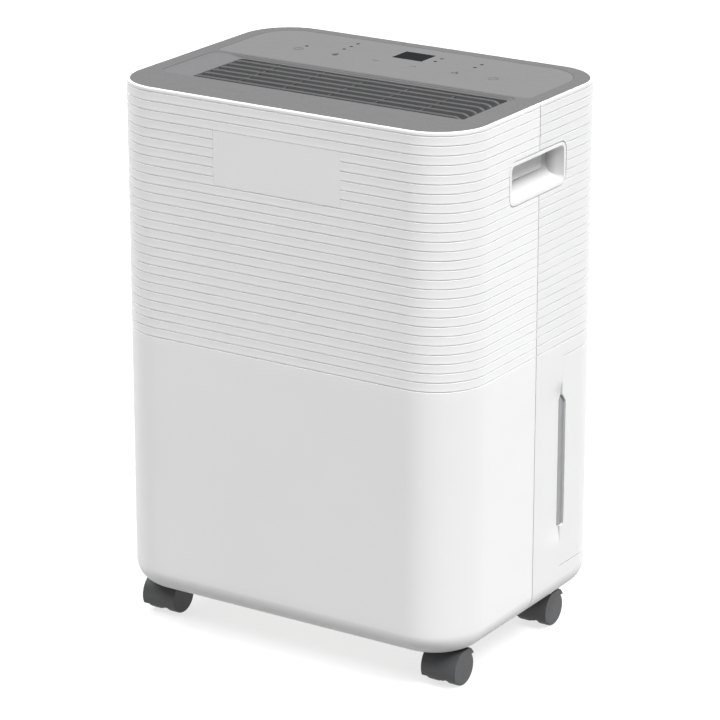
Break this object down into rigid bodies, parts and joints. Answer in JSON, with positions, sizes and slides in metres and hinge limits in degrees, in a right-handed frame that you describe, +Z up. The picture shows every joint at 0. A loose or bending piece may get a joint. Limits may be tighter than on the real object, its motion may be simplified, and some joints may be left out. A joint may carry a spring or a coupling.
{
  "type": "dehumidifier",
  "caption": "Upright white compressor dehumidifier with a ribbed upper band, grey top deck with louvred outlet and touch panel, rear water tank and casters.",
  "frame": {"origin": "middle of the footprint, on the floor under the caster wheels", "axes": "+X the machine's right side seen from the front, +Y the back with the water tank and air inlet, +Z up"},
  "size_m": [0.371, 0.2726, 0.521],
  "materials": {
    "casing_white": "fine satin moulded white",
    "chassis_white": "plain moulded off-white",
    "deck_grey": "satin grey",
    "panel_grey": "smooth light grey",
    "grille_grey": "satin grey",
    "display_black": "smoked window",
    "caster_grey": "satin dark grey nylon",
    "tank_smoke": "smoky translucent, glossy",
    "float_foam": "pale foamed plastic",
    "board_green": "coated circuit board",
    "black_plastic": "matt black",
    "black_rubber": "soft black",
    "compressor_black": "semi-gloss black enamel",
    "steel": "zinc-plated",
    "copper": "drawn copper",
    "aluminium": "mill-finish fins",
    "mesh_grey": "fine woven dust mesh"
  },
  "bodies": {
    "casing": {"front_shell": "casing_white", "rear_shell": "casing_white", "badge_plate": "casing_white", "handle_cup_left": "casing_white", "handle_cup_right": "casing_white", "base_tray": "chassis_white", "bay_partition": "chassis_white", "drip_tray": "chassis_white", "drain_spout": "chassis_white", "fan_scroll": "chassis_white", "scroll_cover": "chassis_white", "electrics_box": "chassis_white", "top_deck": "deck_grey", "control_panel": "panel_grey", "outlet_grille": "grille_grey", "display_lens": "display_black", "control_board": "board_green", "main_board": "board_green", "humidity_sensor": "board_green", "cord_gland": "black_plastic", "tank_switch": "black_plastic", "terminal_cover": "black_plastic", "compressor_grommet_1": "black_rubber", "compressor_grommet_2": "black_rubber", "compressor_grommet_3": "black_rubber", "compressor": "compressor_black", "fan_motor": "steel", "suction_pipe": "copper", "discharge_pipe": "copper", "capillary_tube": "copper", "evaporator": "aluminium", "condenser": "aluminium", "capacitor": "aluminium"},
    "filter_cassette": {"inlet_grille": "casing_white", "filter_frame": "chassis_white", "filter_mesh": "mesh_grey"},
    "tank": {"tank_bucket": "tank_smoke", "tank_fascia": "casing_white", "tank_lid": "chassis_white", "float_pin": "steel"},
    "tank_handle": {"tank_handle": "chassis_white"},
    "tank_float": {"float_arm": "float_foam"},
    "drain_plug": {"drain_plug": "black_rubber"},
    "fan": {"fan_impeller": "black_plastic"},
    "caster_front_left": {"caster_front_left_hood": "caster_grey", "caster_front_left_axle": "steel"},
    "caster_front_left_wheel_left": {"caster_front_left_wheel_left": "caster_grey"},
    "caster_front_left_wheel_right": {"caster_front_left_wheel_right": "caster_grey"},
    "caster_front_right": {"caster_front_right_hood": "caster_grey", "caster_front_right_axle": "steel"},
    "caster_front_right_wheel_left": {"caster_front_right_wheel_left": "caster_grey"},
    "caster_front_right_wheel_right": {"caster_front_right_wheel_right": "caster_grey"},
    "caster_rear_left": {"caster_rear_left_hood": "caster_grey", "caster_rear_left_axle": "steel"},
    "caster_rear_left_wheel_left": {"caster_rear_left_wheel_left": "caster_grey"},
    "caster_rear_left_wheel_right": {"caster_rear_left_wheel_right": "caster_grey"},
    "caster_rear_right": {"caster_rear_right_hood": "caster_grey", "caster_rear_right_axle": "steel"},
    "caster_rear_right_wheel_left": {"caster_rear_right_wheel_left": "caster_grey"},
    "caster_rear_right_wheel_right": {"caster_rear_right_wheel_right": "caster_grey"}
  },
  "joints": [
    {"name": "tank_slide", "type": "slide", "parent": "casing", "child": "tank", "axis": [0, 1, 0], "range_m": [0, 0.15]},
    {"name": "tank_handle_fold", "type": "hinge", "parent": "tank", "child": "tank_handle", "pos_m": [0, 0.062, 0.2465], "axis": [1, 0, 0], "range_deg": [0, 90]},
    {"name": "float_swing", "type": "hinge", "parent": "tank", "child": "tank_float", "pos_m": [0.11, 0.11, 0.23], "axis": [-1, 0, 0], "range_deg": [0, 14]},
    {"name": "filter_pull", "type": "slide", "parent": "casing", "child": "filter_cassette", "axis": [0, 1, 0], "range_m": [0, 0.06]},
    {"name": "drain_plug_pull", "type": "slide", "parent": "casing", "child": "drain_plug", "axis": [0, 1, 0], "range_m": [0, 0.016]},
    {"name": "fan_spin", "type": "hinge", "parent": "casing", "child": "fan", "pos_m": [0, -0.03, 0.385], "axis": [0, 1, 0], "continuous": true},
    {"name": "caster_front_left_swivel", "type": "hinge", "parent": "casing", "child": "caster_front_left", "pos_m": [-0.1546, -0.08135, 0.035], "axis": [0, 0, 1], "continuous": true},
    {"name": "caster_front_left_roll_left", "type": "hinge", "parent": "caster_front_left", "child": "caster_front_left_wheel_left", "pos_m": [-0.1546, -0.0924, 0.0165], "axis": [1, 0, 0], "continuous": true},
    {"name": "caster_front_left_roll_right", "type": "hinge", "parent": "caster_front_left", "child": "caster_front_left_wheel_right", "pos_m": [-0.1546, -0.0924, 0.0165], "axis": [1, 0, 0], "continuous": true},
    {"name": "caster_front_right_swivel", "type": "hinge", "parent": "casing", "child": "caster_front_right", "pos_m": [0.1546, -0.08135, 0.035], "axis": [0, 0, 1], "continuous": true},
    {"name": "caster_front_right_roll_left", "type": "hinge", "parent": "caster_front_right", "child": "caster_front_right_wheel_left", "pos_m": [0.1546, -0.0924, 0.0165], "axis": [1, 0, 0], "continuous": true},
    {"name": "caster_front_right_roll_right", "type": "hinge", "parent": "caster_front_right", "child": "caster_front_right_wheel_right", "pos_m": [0.1546, -0.0924, 0.0165], "axis": [1, 0, 0], "continuous": true},
    {"name": "caster_rear_left_swivel", "type": "hinge", "parent": "casing", "child": "caster_rear_left", "pos_m": [-0.1546, 0.08135, 0.035], "axis": [0, 0, 1], "continuous": true},
    {"name": "caster_rear_left_roll_left", "type": "hinge", "parent": "caster_rear_left", "child": "caster_rear_left_wheel_left", "pos_m": [-0.1546, 0.0703, 0.0165], "axis": [1, 0, 0], "continuous": true},
    {"name": "caster_rear_left_roll_right", "type": "hinge", "parent": "caster_rear_left", "child": "caster_rear_left_wheel_right", "pos_m": [-0.1546, 0.0703, 0.0165], "axis": [1, 0, 0], "continuous": true},
    {"name": "caster_rear_right_swivel", "type": "hinge", "parent": "casing", "child": "caster_rear_right", "pos_m": [0.1546, 0.08135, 0.035], "axis": [0, 0, 1], "continuous": true},
    {"name": "caster_rear_right_roll_left", "type": "hinge", "parent": "caster_rear_right", "child": "caster_rear_right_wheel_left", "pos_m": [0.1546, 0.0703, 0.0165], "axis": [1, 0, 0], "continuous": true},
    {"name": "caster_rear_right_roll_right", "type": "hinge", "parent": "caster_rear_right", "child": "caster_rear_right_wheel_right", "pos_m": [0.1546, 0.0703, 0.0165], "axis": [1, 0, 0], "continuous": true}
  ]
}
